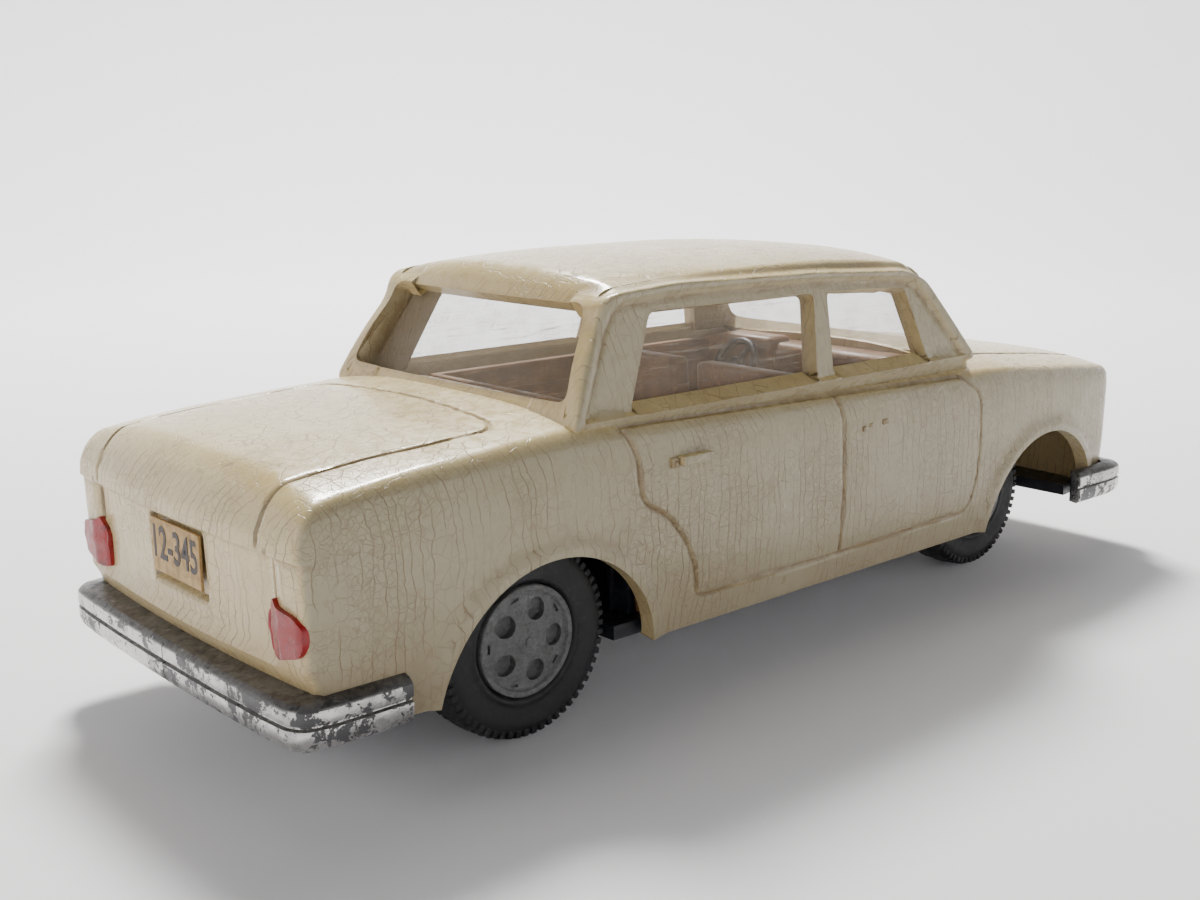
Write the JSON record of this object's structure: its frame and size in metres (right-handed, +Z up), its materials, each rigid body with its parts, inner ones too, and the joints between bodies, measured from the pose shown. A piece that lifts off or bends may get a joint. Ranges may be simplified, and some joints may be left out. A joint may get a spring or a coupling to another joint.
{
  "type": "diecast collector car",
  "caption": "Toy four-door saloon with moulded cream body, clear glazing, black bumpers and free-rolling wheels on steel axles.",
  "frame": {"origin": "centre of the bounding box at floor level, under the middle of the car", "axes": "+X towards the front, +Y towards the car's left, +Z up"},
  "size_m": [0.125, 0.0452, 0.0419],
  "materials": {
    "body": "aged gloss cream",
    "glazing": "clear, scratched",
    "interior": "matte brown",
    "steering": "matte",
    "black_plastic": "matte",
    "screws": "dull",
    "bumper": "worn silver foil on black plastic",
    "grille": "worn foil",
    "headlamp": "gloss",
    "tail_lamp": "gloss red",
    "label": "tan card",
    "axle": "plain",
    "wheel_disc": "satin grey",
    "tyre": "matte black"
  },
  "bodies": {
    "car": {"body_shell": "body", "window_glazing": "glazing", "interior_tub": "interior", "steering_wheel": "steering", "base_plate": "black_plastic", "base_screws": "screws", "rear_bumper": "bumper", "front_bumper": "bumper", "front_grille": "grille", "headlamp_left": "headlamp", "headlamp_right": "headlamp", "tail_lamp_left": "tail_lamp", "tail_lamp_right": "tail_lamp", "rear_plate_label": "label"},
    "front_wheels": {"front_axle": "axle", "wheel_disc_front_left": "wheel_disc", "wheel_disc_front_right": "wheel_disc", "tyre_front_left": "tyre", "tyre_front_right": "tyre"},
    "rear_wheels": {"rear_axle": "axle", "wheel_disc_rear_left": "wheel_disc", "wheel_disc_rear_right": "wheel_disc", "tyre_rear_left": "tyre", "tyre_rear_right": "tyre"}
  },
  "joints": [
    {"name": "front_axle_spin", "type": "hinge", "parent": "car", "child": "front_wheels", "pos_m": [0.0375, 0, 0.0094], "axis": [0, 1, 0], "continuous": true},
    {"name": "rear_axle_spin", "type": "hinge", "parent": "car", "child": "rear_wheels", "pos_m": [-0.0368, 0, 0.0094], "axis": [0, 1, 0], "continuous": true}
  ]
}
